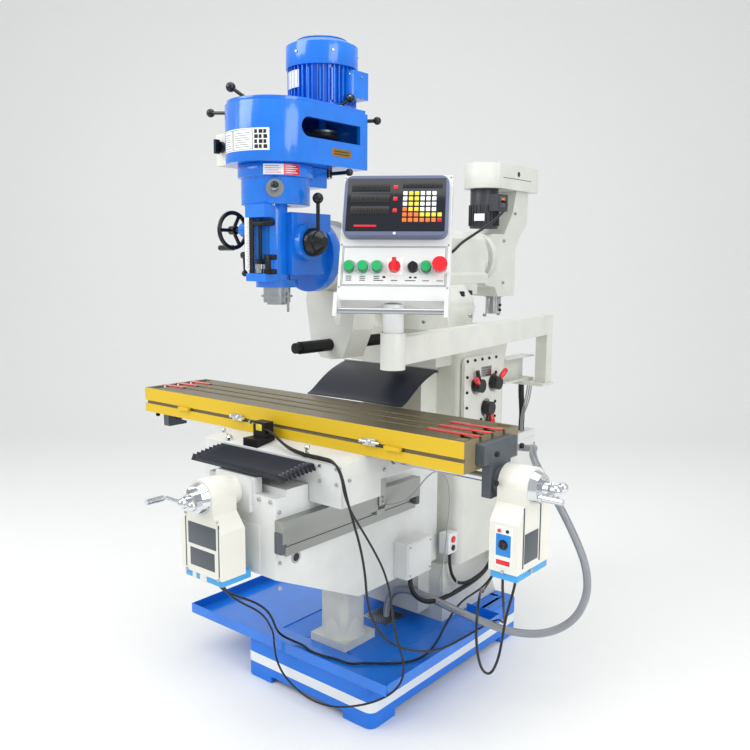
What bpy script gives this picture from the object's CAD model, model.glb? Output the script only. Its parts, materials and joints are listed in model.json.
# %% [markdown]
# # A turret milling machine, dressed over its CAD frame
#
# The machine has a blue vertical head and motor at the front of its ram, a slotting head at
# the back, a horizontal arbor below, and a knee, saddle and long table that slide on the
# column.  The CAD model already gives every casting its place and its joints.  This script
# adds what the real machine wears: enamel and steel finishes, bolts, dials,
# labels, rubber covers, cables and the control panel.
#
# Lengths in the mesh helpers are millimetres, because drawings are; they become metres once,
# when a piece is finished.

import json
import math
from math import cos, pi, radians, sin

import bmesh
import bpy
from mathutils import Matrix, Vector


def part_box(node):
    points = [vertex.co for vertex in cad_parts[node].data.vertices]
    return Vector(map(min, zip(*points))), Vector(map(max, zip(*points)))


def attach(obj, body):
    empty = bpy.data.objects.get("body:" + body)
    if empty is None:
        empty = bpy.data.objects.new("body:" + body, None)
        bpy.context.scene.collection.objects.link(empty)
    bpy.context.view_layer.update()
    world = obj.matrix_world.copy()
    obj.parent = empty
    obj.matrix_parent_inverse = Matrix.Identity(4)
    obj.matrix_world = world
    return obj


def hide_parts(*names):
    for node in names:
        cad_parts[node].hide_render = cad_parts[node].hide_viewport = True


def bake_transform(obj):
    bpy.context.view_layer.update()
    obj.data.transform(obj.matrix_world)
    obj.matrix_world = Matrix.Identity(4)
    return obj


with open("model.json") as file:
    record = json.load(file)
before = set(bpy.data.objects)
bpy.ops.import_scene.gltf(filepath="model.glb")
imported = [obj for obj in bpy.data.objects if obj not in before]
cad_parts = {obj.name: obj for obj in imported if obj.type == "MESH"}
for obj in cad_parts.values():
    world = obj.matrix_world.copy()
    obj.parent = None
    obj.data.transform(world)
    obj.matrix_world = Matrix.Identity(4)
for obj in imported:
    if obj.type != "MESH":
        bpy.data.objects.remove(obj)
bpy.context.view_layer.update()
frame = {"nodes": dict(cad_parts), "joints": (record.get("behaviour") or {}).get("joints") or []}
METRE = 1000.0
SHARP = radians(38)

# %% [markdown]
# ## Camera
# The camera stands where a visitor would: a little above the table, at the machine's
# front right corner.  It is set first, because loose cables have to stay in its view.

# %% Camera
CAMERA_PLACE = Vector((1.894, -2.405, 1.550))
LOOKING = Vector((-0.6285, 0.7652, -0.1395))
ROLL = radians(0.34)
lens = bpy.data.cameras.new("camera")
lens.lens = 38.82
lens.sensor_width = 36.0
camera = bpy.data.objects.new("camera", lens)
bpy.context.scene.collection.objects.link(camera)
upright = LOOKING.to_track_quat("-Z", "Y").to_matrix().to_4x4()
camera.matrix_world = (Matrix.Translation(CAMERA_PLACE) @ upright
                       @ Matrix.Rotation(ROLL, 4, "Z"))
bpy.context.scene.camera = camera
print("camera at", tuple(CAMERA_PLACE))

# %% [markdown]
# ## Finishes
# A material is a short node tree: a noise pattern on the object's own coordinates changes
# the colour a little and raises the surface a little.  Enamel gets a faint orange peel,
# castings a coarser one, and ground steel fine streaks.

# %% Colour and node helpers
def linear(hexcode):
    """A screen colour such as 1E74DC as the linear light that shaders work in."""
    parts = [int(hexcode[start:start + 2], 16) / 255 for start in (0, 2, 4)]
    light = [part / 12.92 if part <= 0.04045 else ((part + 0.055) / 1.055) ** 2.4
             for part in parts]
    return (*light, 1.0)


def shade(hexcode, share):
    """The same colour, lighter (share above 1) or darker."""
    return (*[min(1.0, part * share) for part in linear(hexcode)[:3]], 1.0)


def add(tree, kind, **values):
    """Add one shader node and set its inputs or its properties by name."""
    node = tree.nodes.new(kind)
    for word, value in values.items():
        socket = word.replace("_", " ")
        if socket in node.inputs:
            node.inputs[socket].default_value = value
        else:
            setattr(node, word, value)
    return node


def started(name):
    """A new material, its tree, its surface shader and its object coordinates."""
    made = bpy.data.materials.new(name)
    made.use_nodes = True
    tree = made.node_tree
    surface = tree.nodes["Principled BSDF"]
    coordinates = add(tree, "ShaderNodeTexCoord")
    return made, tree, surface, coordinates.outputs["Object"]


def noise(tree, place, size_mm, stretch=(1, 1, 1), detail=3.0):
    """A noise pattern whose lumps are size_mm across, stretched along an axis if wished."""
    spread = add(tree, "ShaderNodeMapping")
    spread.inputs["Scale"].default_value = stretch
    pattern = add(tree, "ShaderNodeTexNoise", Scale=METRE / size_mm, Detail=detail)
    tree.links.new(place, spread.inputs["Vector"])
    tree.links.new(spread.outputs["Vector"], pattern.inputs["Vector"])
    return pattern.outputs["Factor" if "Factor" in pattern.outputs else "Fac"]


def raised(tree, surface, pattern, depth_mm, strength=0.6):
    bump = add(tree, "ShaderNodeBump", Strength=strength, Distance=depth_mm / METRE)
    tree.links.new(pattern, bump.inputs["Height"])
    tree.links.new(bump.outputs["Normal"], surface.inputs["Normal"])


def finish(name, colour, rough, metal=0.0, lump_mm=4.0, depth_mm=0.15, vary=0.08,
           stretch=(1, 1, 1), coat=0.0):
    """A plain finish: varied colour, roughness and a little relief."""
    made, tree, surface, place = started(name)
    surface.inputs["Metallic"].default_value = metal
    surface.inputs["Coat Weight"].default_value = coat
    cloudy = noise(tree, place, 90.0, stretch)
    ramp = add(tree, "ShaderNodeValToRGB")
    ramp.color_ramp.elements[0].position = 0.3
    ramp.color_ramp.elements[1].position = 0.7
    ramp.color_ramp.elements[0].color = shade(colour, 1 - vary)
    ramp.color_ramp.elements[1].color = shade(colour, 1 + vary)
    tree.links.new(cloudy, ramp.inputs["Fac"])
    tree.links.new(ramp.outputs["Color"], surface.inputs["Base Color"])
    spread = add(tree, "ShaderNodeMapRange")
    spread.inputs["To Min"].default_value = max(0.03, rough * 0.8)
    spread.inputs["To Max"].default_value = min(1.0, rough * 1.25)
    tree.links.new(cloudy, spread.inputs["Value"])
    tree.links.new(spread.outputs["Result"], surface.inputs["Roughness"])
    raised(tree, surface, noise(tree, place, lump_mm, stretch), depth_mm)
    return made


# %% The finishes
blue = finish("gloss_blue_enamel", "0B74DE", 0.24, lump_mm=7, depth_mm=0.25, coat=0.4)
grey = finish("off_white_enamel", "DADCDA", 0.36, lump_mm=6, depth_mm=0.25, vary=0.04)
casting = finish("painted_casting", "D3D4CC", 0.4, lump_mm=9, depth_mm=0.5, vary=0.05)
panel_paint = finish("smooth_panel_paint", "DADBDA", 0.34, lump_mm=3, depth_mm=0.05, vary=0.02)
slate = finish("slate_paint", "4F555C", 0.42, lump_mm=3, depth_mm=0.2)
cream = finish("cream_moulding", "E4E2D8", 0.38, lump_mm=1.2, depth_mm=0.06, vary=0.02)
sky = finish("light_blue_cap", "3FA0DF", 0.35, lump_mm=2, depth_mm=0.05)
steel = finish("turned_steel", "B4B7B9", 0.24, metal=1.0, lump_mm=1.5, depth_mm=0.02,
               stretch=(1, 1, 8))
chrome = finish("bright_chrome", "D9DCDF", 0.08, metal=1.0, lump_mm=20, depth_mm=0.01, vary=0.02)
brass = finish("aged_brass", "B78C3E", 0.3, metal=1.0, lump_mm=4, depth_mm=0.03)
alloy = finish("drawn_aluminium", "A5A7A4", 0.34, metal=1.0, lump_mm=1.5, depth_mm=0.02,
               stretch=(1, 0.04, 1))
black = finish("black_phenolic", "111214", 0.24, lump_mm=3, depth_mm=0.03)
black_steel = finish("blackened_steel", "1B1C1E", 0.42, metal=0.5, lump_mm=2, depth_mm=0.05)
rubber = finish("navy_rubber", "141926", 0.3, lump_mm=3, depth_mm=0.12)
cable_skin = finish("cable_sheath", "0E0F11", 0.38, lump_mm=2, depth_mm=0.03)
motor_enamel = finish("charcoal_motor_enamel", "2F3238", 0.45, lump_mm=2, depth_mm=0.15)
red = finish("red_plastic", "D8141F", 0.22, lump_mm=8, depth_mm=0.02, coat=0.3)
green = finish("green_plastic", "12A35A", 0.3, lump_mm=8, depth_mm=0.02, coat=0.3)
orange = finish("orange_plastic", "F0762A", 0.35, lump_mm=4, depth_mm=0.02)
lemon = finish("yellow_plastic", "EBD93A", 0.35, lump_mm=4, depth_mm=0.02)
white = finish("white_label", "EEF0F0", 0.35, lump_mm=6, depth_mm=0.01, vary=0.02)
bezel = finish("grey_blue_bezel", "636A85", 0.36, lump_mm=1.5, depth_mm=0.05, vary=0.03)
screen = finish("dark_screen", "12151F", 0.12, lump_mm=30, depth_mm=0.01, vary=0.02)
digits = finish("unlit_digits", "3A3938", 0.3, lump_mm=10, depth_mm=0.01)
field_blue = finish("printed_blue", "1583D8", 0.3, lump_mm=10, depth_mm=0.01)
ink = finish("printed_black", "1C1E22", 0.4, lump_mm=6, depth_mm=0.01)
print(len(bpy.data.materials), "finishes so far")

# %% [markdown]
# Three castings carry more than one colour.  The base is banded blue and off-white by
# height, and the table is yellow on its front and back, ground iron on top, and brown with
# oil at its ends.  A map range and a stepped ramp on one coordinate give clean edges, just
# where a painter's masking tape would.

# %% Finishes that change with place
def stepped(tree, value, low, high, steps):
    """A ramp that jumps from colour to colour: steps are (position in mm, colour)."""
    spread = add(tree, "ShaderNodeMapRange", From_Min=low / METRE, From_Max=high / METRE)
    ramp = add(tree, "ShaderNodeValToRGB")
    ramp.color_ramp.interpolation = "CONSTANT"
    points = ramp.color_ramp.elements
    while len(points) < len(steps):
        points.new(1.0)
    for point, (at_mm, colour) in zip(points, steps):
        point.position = (at_mm - low) / (high - low)
        point.color = colour
    tree.links.new(value, spread.inputs["Value"])
    tree.links.new(spread.outputs["Result"], ramp.inputs["Fac"])
    return ramp.outputs["Color"]


def banded_base():
    made, tree, surface, place = started("banded_base_enamel")
    split = add(tree, "ShaderNodeSeparateXYZ")
    tree.links.new(place, split.inputs["Vector"])
    sea, foam = linear("0B74DE"), linear("E8ECEE")
    colour = stepped(tree, split.outputs["Z"], 0, 200,
                     [(0, sea), (58, foam), (96, sea), (138, sea), (159.8, linear("B9BDBC"))])
    tree.links.new(colour, surface.inputs["Base Color"])
    surface.inputs["Roughness"].default_value = 0.3
    raised(tree, surface, noise(tree, place, 7.0), 0.25)
    return made


def table_finish():
    low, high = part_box("table")
    made, tree, surface, place = started("ground_iron_and_yellow_enamel")
    split = add(tree, "ShaderNodeSeparateXYZ")
    tree.links.new(place, split.inputs["Vector"])
    iron, paint, oily = linear("857A5C"), linear("DDB81A"), linear("4E452C")
    front = low.y * METRE + 12
    back = high.y * METRE
    across = stepped(tree, split.outputs["Y"], front - 20, back + 20,
                     [(front - 20, paint), (front + 0.5, iron), (back - 0.5, paint)])
    top = stepped(tree, split.outputs["Z"], low.z * METRE - 10, high.z * METRE + 10,
                  [(low.z * METRE - 10, linear("000000")), (high.z * METRE - 0.4,
                                                            linear("FFFFFF"))])
    upper = add(tree, "ShaderNodeMix", data_type="RGBA")
    tree.links.new(top, upper.inputs["Factor"])
    tree.links.new(across, upper.inputs[6])
    upper.inputs[7].default_value = iron
    ends = stepped(tree, split.outputs["X"], low.x * METRE - 10, high.x * METRE + 10,
                   [(low.x * METRE - 10, linear("FFFFFF")), (low.x * METRE + 0.5,
                                                             linear("000000")),
                    (high.x * METRE - 0.5, linear("FFFFFF"))])
    whole = add(tree, "ShaderNodeMix", data_type="RGBA")
    tree.links.new(ends, whole.inputs["Factor"])
    tree.links.new(upper.outputs[2], whole.inputs[6])
    whole.inputs[7].default_value = oily
    tree.links.new(whole.outputs[2], surface.inputs["Base Color"])
    streaks = noise(tree, place, 3.0, (0.02, 1, 1))
    shine = add(tree, "ShaderNodeMapRange")
    shine.inputs["To Min"].default_value = 0.22
    shine.inputs["To Max"].default_value = 0.5
    tree.links.new(streaks, shine.inputs["Value"])
    tree.links.new(shine.outputs["Result"], surface.inputs["Roughness"])
    tree.links.new(top, surface.inputs["Metallic"])
    raised(tree, surface, streaks, 0.05)
    return made


base_paint = banded_base()
table_paint = table_finish()
print("banded base and table finishes made")

# %% [markdown]
# ## Dressing the CAD castings
# A real casting has no knife edges.  Each CAD mesh is welded and given a small live bevel,
# so highlights run along its edges, and gets the finish that belongs to it.

# %% Finishes and soft edges for the CAD nodes
NODE_FINISH = {
    "base": base_paint, "chip_tray": blue, "column": casting, "electrical_cabinet": grey,
    "knee_pedestal": casting, "elevating_screw": steel, "knee": grey, "linear_scale": alloy,
    "junction_box": panel_paint, "saddle": grey, "limit_switch": black_steel,
    "table": table_paint, "end_brackets": slate, "y_power_feed": cream, "y_crank": chrome,
    "x_power_feed": cream, "x_crank": chrome, "front_bellows": rubber,
    "rear_way_cover": rubber, "turret": casting, "ram": casting, "ram_adapter": casting,
    "arbor_support": casting, "arbor": black_steel, "quill_housing": blue,
    "depth_stop": black_steel, "gear_housing": blue, "belt_housing": blue,
    "spindle_pulley": alloy, "head_motor": blue, "drum_switch": cream,
    "drum_switch_knob": black, "quill": steel, "spindle": steel, "quill_feed_lever": black,
    "fine_feed_handwheel": black, "feed_lever": black, "brake_lever": black,
    "range_knob": alloy, "slotting_body": casting, "slotting_belt_cover": casting,
    "slotting_motor": motor_enamel, "slotting_ram": steel, "pendant_arm": casting,
    "console_box": panel_paint, "display": bezel, "start_button": green,
    "knee_up_button": green, "knee_down_button": green, "reset_button": green,
    "cam_switch": red, "selector_switch": black, "e_stop": red,
    "speed_lever_upper": black, "speed_lever_middle": black, "speed_lever_lower": black,
    "y_feed_cable": cable_skin, "limit_switch_cable": cable_skin,
    "x_feed_cable": cable_skin, "steel_hose": steel,
}
EDGE_MM = {
    "base": 6, "chip_tray": 1, "column": 5, "electrical_cabinet": 1.5, "knee": 4,
    "saddle": 3, "table": 0.8, "end_brackets": 5, "y_power_feed": 5, "x_power_feed": 5,
    "turret": 4, "ram": 4, "ram_adapter": 3, "arbor_support": 5, "quill_housing": 5,
    "gear_housing": 4, "belt_housing": 4, "head_motor": 1.2, "slotting_body": 7,
    "slotting_belt_cover": 3, "slotting_motor": 1.5, "pendant_arm": 3, "console_box": 1.5,
    "display": 4, "junction_box": 1.5, "knee_pedestal": 6, "linear_scale": 1,
    "drum_switch": 3, "cam_switch": 1.5, "e_stop": 4, "start_button": 1.5,
    "knee_up_button": 1.5, "knee_down_button": 1.5, "reset_button": 1.5, "slotting_ram": 1,
}


def paint_node(name, material):
    for place in frame["nodes"][name].material_slots:
        place.material = material


def soften(name, edge_mm):
    """Weld the node's loose triangles and round its edges, both as live modifiers."""
    thing = frame["nodes"][name]
    weld = thing.modifiers.new("weld", "WELD")
    weld.merge_threshold = 0.00002
    rounding = thing.modifiers.new("rounding", "BEVEL")
    rounding.width = edge_mm / METRE
    rounding.segments = 2
    rounding.limit_method = "ANGLE"
    rounding.angle_limit = radians(40)
    rounding.harden_normals = True


for node_name, node_finish in NODE_FINISH.items():
    if node_name in frame["nodes"]:
        paint_node(node_name, node_finish)
for node_name, width in EDGE_MM.items():
    soften(node_name, width)
print(len(NODE_FINISH), "nodes painted,", len(EDGE_MM), "softened")

# %% [markdown]
# ## Mesh helpers
# Each added piece is drawn in one bmesh from boxes, turned shapes and bars, and then made
# an object that rides on the body it is bolted to.  Edges sharper than SHARP stay crisp.

# %% Shapes in a bmesh
def corners(name):
    """A node's box at rest in millimetres: lowest x, y, z and highest x, y, z."""
    low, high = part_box(name)
    return [value * METRE for value in (*low, *high)]


def slab(mesh, x_from, x_to, y_from, y_to, z_from, z_to, edge=0.0):
    """A box between two corners, its edges rounded by edge."""
    low = Vector((x_from, y_from, z_from))
    size = Vector((x_to, y_to, z_to)) - low
    made = bmesh.ops.create_cube(mesh, size=1)["verts"]
    for corner in made:
        part = corner.co + Vector((0.5, 0.5, 0.5))
        corner.co = low + Vector((part.x * size.x, part.y * size.y, part.z * size.z))
    if edge:
        lines = list({line for corner in made for line in corner.link_edges})
        bmesh.ops.bevel(mesh, geom=lines, offset=edge, segments=2, profile=0.5,
                        affect="EDGES", material=-1)


def swept(mesh, start, along, line, steps):
    """Spin a chain of vertices right round an axis and close its poles."""
    before = len(mesh.verts) - len(line)
    chain = [mesh.edges.new(pair) for pair in zip(line, line[1:])]
    bmesh.ops.spin(mesh, geom=line + chain, cent=start, axis=along, dvec=(0, 0, 0),
                   angle=2 * pi, steps=steps, use_merge=True, use_duplicate=False)
    bmesh.ops.remove_doubles(mesh, verts=mesh.verts[before:], dist=0.001)


def turned(mesh, start, axis, profile, steps=32):
    """A closed solid turned on an axis: profile is (distance along, radius) pairs."""
    along = Vector(axis).normalized()
    side = along.orthogonal().normalized()
    outline = [(profile[0][0], 0.0), *profile, (profile[-1][0], 0.0)]
    line = [mesh.verts.new(Vector(start) + along * distance + side * radius)
            for distance, radius in outline]
    mesh.verts.ensure_lookup_table()
    swept(mesh, Vector(start), along, line, steps)
    mesh.verts.ensure_lookup_table()


def bar(mesh, start, end, radius, steps=16):
    run = Vector(end) - Vector(start)
    turned(mesh, start, run, [(0, radius), (run.length, radius)], steps)


def ball(mesh, middle, radius):
    bmesh.ops.create_uvsphere(mesh, u_segments=24, v_segments=14, radius=radius,
                              matrix=Matrix.Translation(middle))


def hollow_ring(mesh, start, axis, outer, inner, thick, steps=48):
    """A flat washer or bearing ring."""
    along = Vector(axis).normalized()
    side = along.orthogonal().normalized()
    loop = ((outer, 0), (outer, thick), (inner, thick), (inner, 0), (outer, 0))
    line = [mesh.verts.new(Vector(start) + along * distance + side * radius)
            for radius, distance in loop]
    mesh.verts.ensure_lookup_table()
    swept(mesh, Vector(start), along, line, steps)
    mesh.verts.ensure_lookup_table()


def cap_screw(mesh, head, axis, radius):
    """A socket head screw: a short cylinder with a rounded rim and a sunk hexagon."""
    turned(mesh, head, axis, [(0, radius), (radius * 0.8, radius), (radius, radius * 0.86)], 20)
    outward = Vector(axis).normalized()
    turned(mesh, Vector(head) + outward * radius * 0.7, axis,
           [(0, radius * 0.5), (radius * 0.32, radius * 0.5)], 6)


def piece(name, mesh, material, body, placed=None):
    """Turn a bmesh drawn in millimetres into a finished object that rides on a body."""
    if placed is not None:
        mesh.transform(placed)
    bmesh.ops.recalc_face_normals(mesh, faces=mesh.faces)
    for face in mesh.faces:
        face.smooth = True
    for line in mesh.edges:
        line.smooth = line.calc_face_angle(0.0) < SHARP
    mesh.transform(Matrix.Scale(1 / METRE, 4))
    data = bpy.data.meshes.new(name)
    mesh.to_mesh(data)
    mesh.free()
    data.materials.append(material)
    made = bpy.data.objects.new(name, data)
    bpy.context.scene.collection.objects.link(made)
    if body:
        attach(made, body)
    return made


print("shape helpers ready")

# %% [markdown]
# ## Cables and the braided hose
# A cable is a fixed length of something flexible.  Each one follows a NURBS line through
# hand-chosen places: straight out of its exit, down under its weight, over the tray or round
# a corner, and into the next part.  A mesh tube is made from that line, because a tube can
# bend between two bodies when a joint moves.

# %% A flexible line
def flex(name, route, radius, material, exit_body=None, bend=None):
    """A mesh tube along a NURBS line; returns the tube and the line's points."""
    line = bpy.data.curves.new(name + "_line", "CURVE")
    line.dimensions = "3D"
    line.resolution_u = 8
    spline = line.splines.new("NURBS")
    spline.points.add(len(route) - 1)
    for point, place in zip(spline.points, route):
        point.co = (*place, 1.0)
    spline.order_u = 3
    spline.use_endpoint_u = True
    carrier = bpy.data.objects.new(name + "_line", line)
    bpy.context.scene.collection.objects.link(carrier)
    path = [tuple(corner.co) for corner in made_mesh(carrier).vertices]
    line.bevel_depth = radius
    line.bevel_resolution = 4
    line.use_fill_caps = True
    data = made_mesh(carrier)
    data.name = name
    for face in data.polygons:
        face.use_smooth = True
    data.materials.clear()
    data.materials.append(material)
    bpy.data.objects.remove(carrier)
    made = bpy.data.objects.new(name, data)
    bpy.context.scene.collection.objects.link(made)
    if bend:
        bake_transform(made)
    else:
        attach(made, exit_body)
    return made, path


def made_mesh(carrier):
    """The carrier's curve as a mesh, evaluated now."""
    bpy.context.view_layer.update()
    graph = bpy.context.evaluated_depsgraph_get()
    return bpy.data.meshes.new_from_object(carrier.evaluated_get(graph))


def loose_cable(name, route, radius, material, node=None, far_end="object",
                stiffness="limp", lay="hanging", **carried):
    """A cable or hose that leaves the object and goes back into it, declared as a cord."""
    made, path = flex(name, route, radius, material, **carried)
    if node and node in frame["nodes"]:
        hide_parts(node)
    return made


# %% The four cables and hoses of the CAD model
CABLE_RADIUS = 0.004
HOSE_RADIUS = 0.014
loose_cable("y_feed_lead", [
    (-0.020, -0.850, 0.5796), (-0.020, -0.850, 0.550), (-0.012, -0.822, 0.512),
    (-0.002, -0.765, 0.478), (-0.006, -0.692, 0.432), (-0.032, -0.624, 0.374),
    (-0.070, -0.566, 0.312), (-0.103, -0.520, 0.250), (-0.118, -0.478, 0.206),
    (-0.108, -0.432, 0.172), (-0.062, -0.424, 0.168), (-0.008, -0.444, 0.1685),
    (0.050, -0.438, 0.168), (0.108, -0.424, 0.1685), (0.160, -0.424, 0.168),
    (0.192, -0.388, 0.169), (0.236, -0.352, 0.168), (0.284, -0.312, 0.1685),
    (0.316, -0.256, 0.168), (0.328, -0.196, 0.172), (0.322, -0.134, 0.188),
    (0.308, -0.062, 0.220), (0.294, 0.018, 0.250), (0.282, 0.100, 0.262),
    (0.274, 0.186, 0.258), (0.272, 0.270, 0.262), (0.272, 0.344, 0.296),
    (0.268, 0.404, 0.352), (0.246, 0.448, 0.408), (0.226, 0.470, 0.456),
    (0.226, 0.470, 0.4997)], CABLE_RADIUS, cable_skin, node="y_feed_cable",
    bend=("frame", "knee_group", (0, 0, 0.22), (0, 0, 0.56)))
loose_cable("limit_switch_lead", [
    (-0.0617, -0.587, 0.980), (-0.034, -0.587, 0.980), (0.014, -0.600, 0.963),
    (0.082, -0.622, 0.949), (0.168, -0.636, 0.945), (0.248, -0.642, 0.947),
    (0.302, -0.650, 0.948), (0.334, -0.656, 0.914), (0.344, -0.648, 0.848),
    (0.350, -0.624, 0.768), (0.356, -0.598, 0.686), (0.364, -0.584, 0.596),
    (0.372, -0.584, 0.506), (0.384, -0.564, 0.428), (0.392, -0.512, 0.362),
    (0.394, -0.438, 0.308), (0.396, -0.352, 0.264), (0.396, -0.262, 0.230),
    (0.396, -0.170, 0.212), (0.398, -0.076, 0.208), (0.404, 0.010, 0.211),
    (0.428, 0.060, 0.230), (0.476, 0.040, 0.262), (0.528, -0.036, 0.300),
    (0.584, -0.124, 0.342), (0.640, -0.212, 0.390), (0.692, -0.300, 0.444),
    (0.734, -0.376, 0.508), (0.754, -0.420, 0.578), (0.757, -0.430, 0.620),
    (0.757, -0.430, 0.6527)], CABLE_RADIUS, cable_skin, node="limit_switch_cable",
    bend=("saddle_group", "table_group", (0.43, 0, 0), (0.75, 0, 0)))
loose_cable("x_feed_lead", [
    (0.772, -0.378, 0.6527), (0.772, -0.379, 0.618), (0.764, -0.384, 0.570),
    (0.752, -0.396, 0.506), (0.746, -0.404, 0.432), (0.742, -0.416, 0.376),
    (0.738, -0.450, 0.340), (0.732, -0.490, 0.366), (0.728, -0.512, 0.426),
    (0.724, -0.516, 0.492), (0.716, -0.498, 0.548), (0.690, -0.446, 0.572),
    (0.644, -0.362, 0.552), (0.592, -0.270, 0.510), (0.538, -0.178, 0.462),
    (0.482, -0.086, 0.412), (0.426, 0.004, 0.364), (0.374, 0.092, 0.324),
    (0.332, 0.176, 0.298), (0.300, 0.262, 0.292), (0.282, 0.340, 0.312),
    (0.268, 0.404, 0.372), (0.238, 0.446, 0.424), (0.206, 0.468, 0.462),
    (0.206, 0.468, 0.4997)], CABLE_RADIUS, cable_skin, node="x_feed_cable",
    bend=("saddle_group", "table_group", (0.32, 0, 0), (0.72, 0, 0)))


def braided_steel():
    """Fine crossed wires: two wave patterns raised on a bright metal."""
    made, tree, surface, place = started("braided_steel")
    surface.inputs["Metallic"].default_value = 1.0
    surface.inputs["Roughness"].default_value = 0.3
    surface.inputs["Base Color"].default_value = linear("AEB1B6")
    lines = []
    for turn in (0.7, -0.7):
        tilt = add(tree, "ShaderNodeMapping")
        tilt.inputs["Rotation"].default_value = (turn, turn, 0.4)
        wires = add(tree, "ShaderNodeTexWave", Scale=METRE / 11)
        tree.links.new(place, tilt.inputs["Vector"])
        tree.links.new(tilt.outputs["Vector"], wires.inputs["Vector"])
        lines.append(wires.outputs["Fac"])
    crossed = add(tree, "ShaderNodeMath", operation="MAXIMUM")
    tree.links.new(lines[0], crossed.inputs[0])
    tree.links.new(lines[1], crossed.inputs[1])
    raised(tree, surface, crossed.outputs["Value"], 1.6, 1.0)
    return made


loose_cable("drain_hose", [
    (0.008, -0.028, 0.1603), (0.009, -0.028, 0.206), (0.030, -0.028, 0.262),
    (0.084, -0.030, 0.296), (0.156, -0.027, 0.298), (0.240, -0.022, 0.288),
    (0.330, -0.014, 0.271), (0.430, 0.002, 0.252), (0.540, 0.034, 0.232),
    (0.640, 0.092, 0.236), (0.714, 0.156, 0.284), (0.744, 0.196, 0.376),
    (0.730, 0.204, 0.478), (0.684, 0.204, 0.572), (0.622, 0.208, 0.668),
    (0.556, 0.212, 0.752), (0.498, 0.238, 0.808), (0.454, 0.290, 0.834),
    (0.428, 0.356, 0.836), (0.390, 0.420, 0.820), (0.328, 0.463, 0.800),
    (0.2584, 0.463, 0.800)], HOSE_RADIUS, braided_steel(), node="steel_hose",
    stiffness="medium", exit_body="frame")

# %% [markdown]
# The next lines are thinner or shorter runs that the CAD model leaves to this script: the
# second lead to the limit switch, the knee's conduits, the scale's grey lead, the slotting
# motor's lead, and the conduits between the pendant bracket and the cabinet.

# %% The smaller cables and conduits
loose_cable("y_switch_lead", [
    (0.012, -0.856, 0.5797), (0.013, -0.853, 0.550), (0.016, -0.828, 0.510),
    (0.014, -0.775, 0.466), (0.004, -0.705, 0.416), (-0.026, -0.640, 0.358),
    (-0.064, -0.585, 0.298), (-0.096, -0.540, 0.244), (-0.112, -0.522, 0.190),
    (-0.108, -0.516, 0.130), (-0.068, -0.516, 0.082), (0.004, -0.517, 0.052),
    (0.076, -0.518, 0.042), (0.150, -0.518, 0.050), (0.222, -0.518, 0.074),
    (0.294, -0.517, 0.108), (0.354, -0.512, 0.142), (0.396, -0.484, 0.172),
    (0.412, -0.452, 0.206), (0.414, -0.446, 0.256), (0.412, -0.462, 0.316),
    (0.408, -0.484, 0.376), (0.404, -0.498, 0.446), (0.400, -0.506, 0.526),
    (0.392, -0.528, 0.600), (0.382, -0.564, 0.670), (0.370, -0.604, 0.740),
    (0.360, -0.646, 0.806), (0.352, -0.668, 0.864), (0.344, -0.672, 0.922),
    (0.306, -0.664, 0.960), (0.250, -0.656, 0.959), (0.170, -0.650, 0.957),
    (0.084, -0.636, 0.962), (0.016, -0.613, 0.976), (-0.034, -0.600, 0.992),
    (-0.0617, -0.597, 0.994)], 0.0035, cable_skin,
    bend=("frame", "knee_group", (0, 0, 0.25), (0, 0, 0.56)))
conduit = finish("corrugated_black_conduit", "0D0E10", 0.45, lump_mm=3, depth_mm=0.6)
loose_cable("knee_conduit", [
    (0.211, -0.150, 0.4237), (0.211, -0.149, 0.386), (0.218, -0.132, 0.340),
    (0.232, -0.084, 0.300), (0.242, -0.012, 0.286), (0.246, 0.070, 0.284),
    (0.246, 0.160, 0.286), (0.244, 0.250, 0.290), (0.240, 0.330, 0.304),
    (0.226, 0.400, 0.330), (0.196, 0.458, 0.366), (0.168, 0.496, 0.414),
    (0.160, 0.506, 0.460), (0.160, 0.506, 0.4997)], 0.009, conduit,
    stiffness="medium", bend=("frame", "knee_group", (0, 0.06, 0), (0, -0.13, 0)))
loose_cable("switch_box_conduit", [
    (0.228, 0.080, 0.4497), (0.228, 0.080, 0.410), (0.232, 0.088, 0.360),
    (0.240, 0.110, 0.318), (0.252, 0.160, 0.302), (0.254, 0.250, 0.306),
    (0.252, 0.330, 0.322), (0.238, 0.410, 0.352), (0.214, 0.466, 0.396),
    (0.194, 0.512, 0.446), (0.190, 0.522, 0.4997)], 0.006, conduit, exit_body="frame")
loose_cable("scale_lead", [
    (0.2143, -0.3010, 0.720), (0.232, -0.286, 0.720), (0.250, -0.236, 0.724),
    (0.258, -0.190, 0.744), (0.262, -0.130, 0.790), (0.266, -0.070, 0.806),
    (0.268, -0.010, 0.776), (0.268, 0.018, 0.700), (0.266, 0.012, 0.610),
    (0.266, 0.000, 0.520), (0.266, -0.014, 0.440), (0.264, -0.038, 0.376),
    (0.264, -0.030, 0.326), (0.268, 0.022, 0.310), (0.262, 0.080, 0.316),
    (0.240, 0.120, 0.334), (0.2053, 0.122, 0.340)], 0.0028, finish("grey_lead", "9EA1A3", 0.4,
                                                                lump_mm=2, depth_mm=0.03),
    bend=("frame", "knee_group", (0, 0.09, 0), (0, -0.03, 0)))
loose_cable("slotting_motor_lead", [
    (0.0963, 0.618, 1.802), (0.120, 0.612, 1.800), (0.148, 0.578, 1.784),
    (0.164, 0.520, 1.752), (0.166, 0.450, 1.716), (0.160, 0.380, 1.682),
    (0.150, 0.310, 1.650), (0.138, 0.250, 1.620), (0.126, 0.222, 1.590),
    (0.1083, 0.218, 1.580)], 0.0055, cable_skin, stiffness="medium",
    bend=("ram_group", "slotting_group", (0, 0.45, 0), (0, 0.60, 0)))
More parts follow.
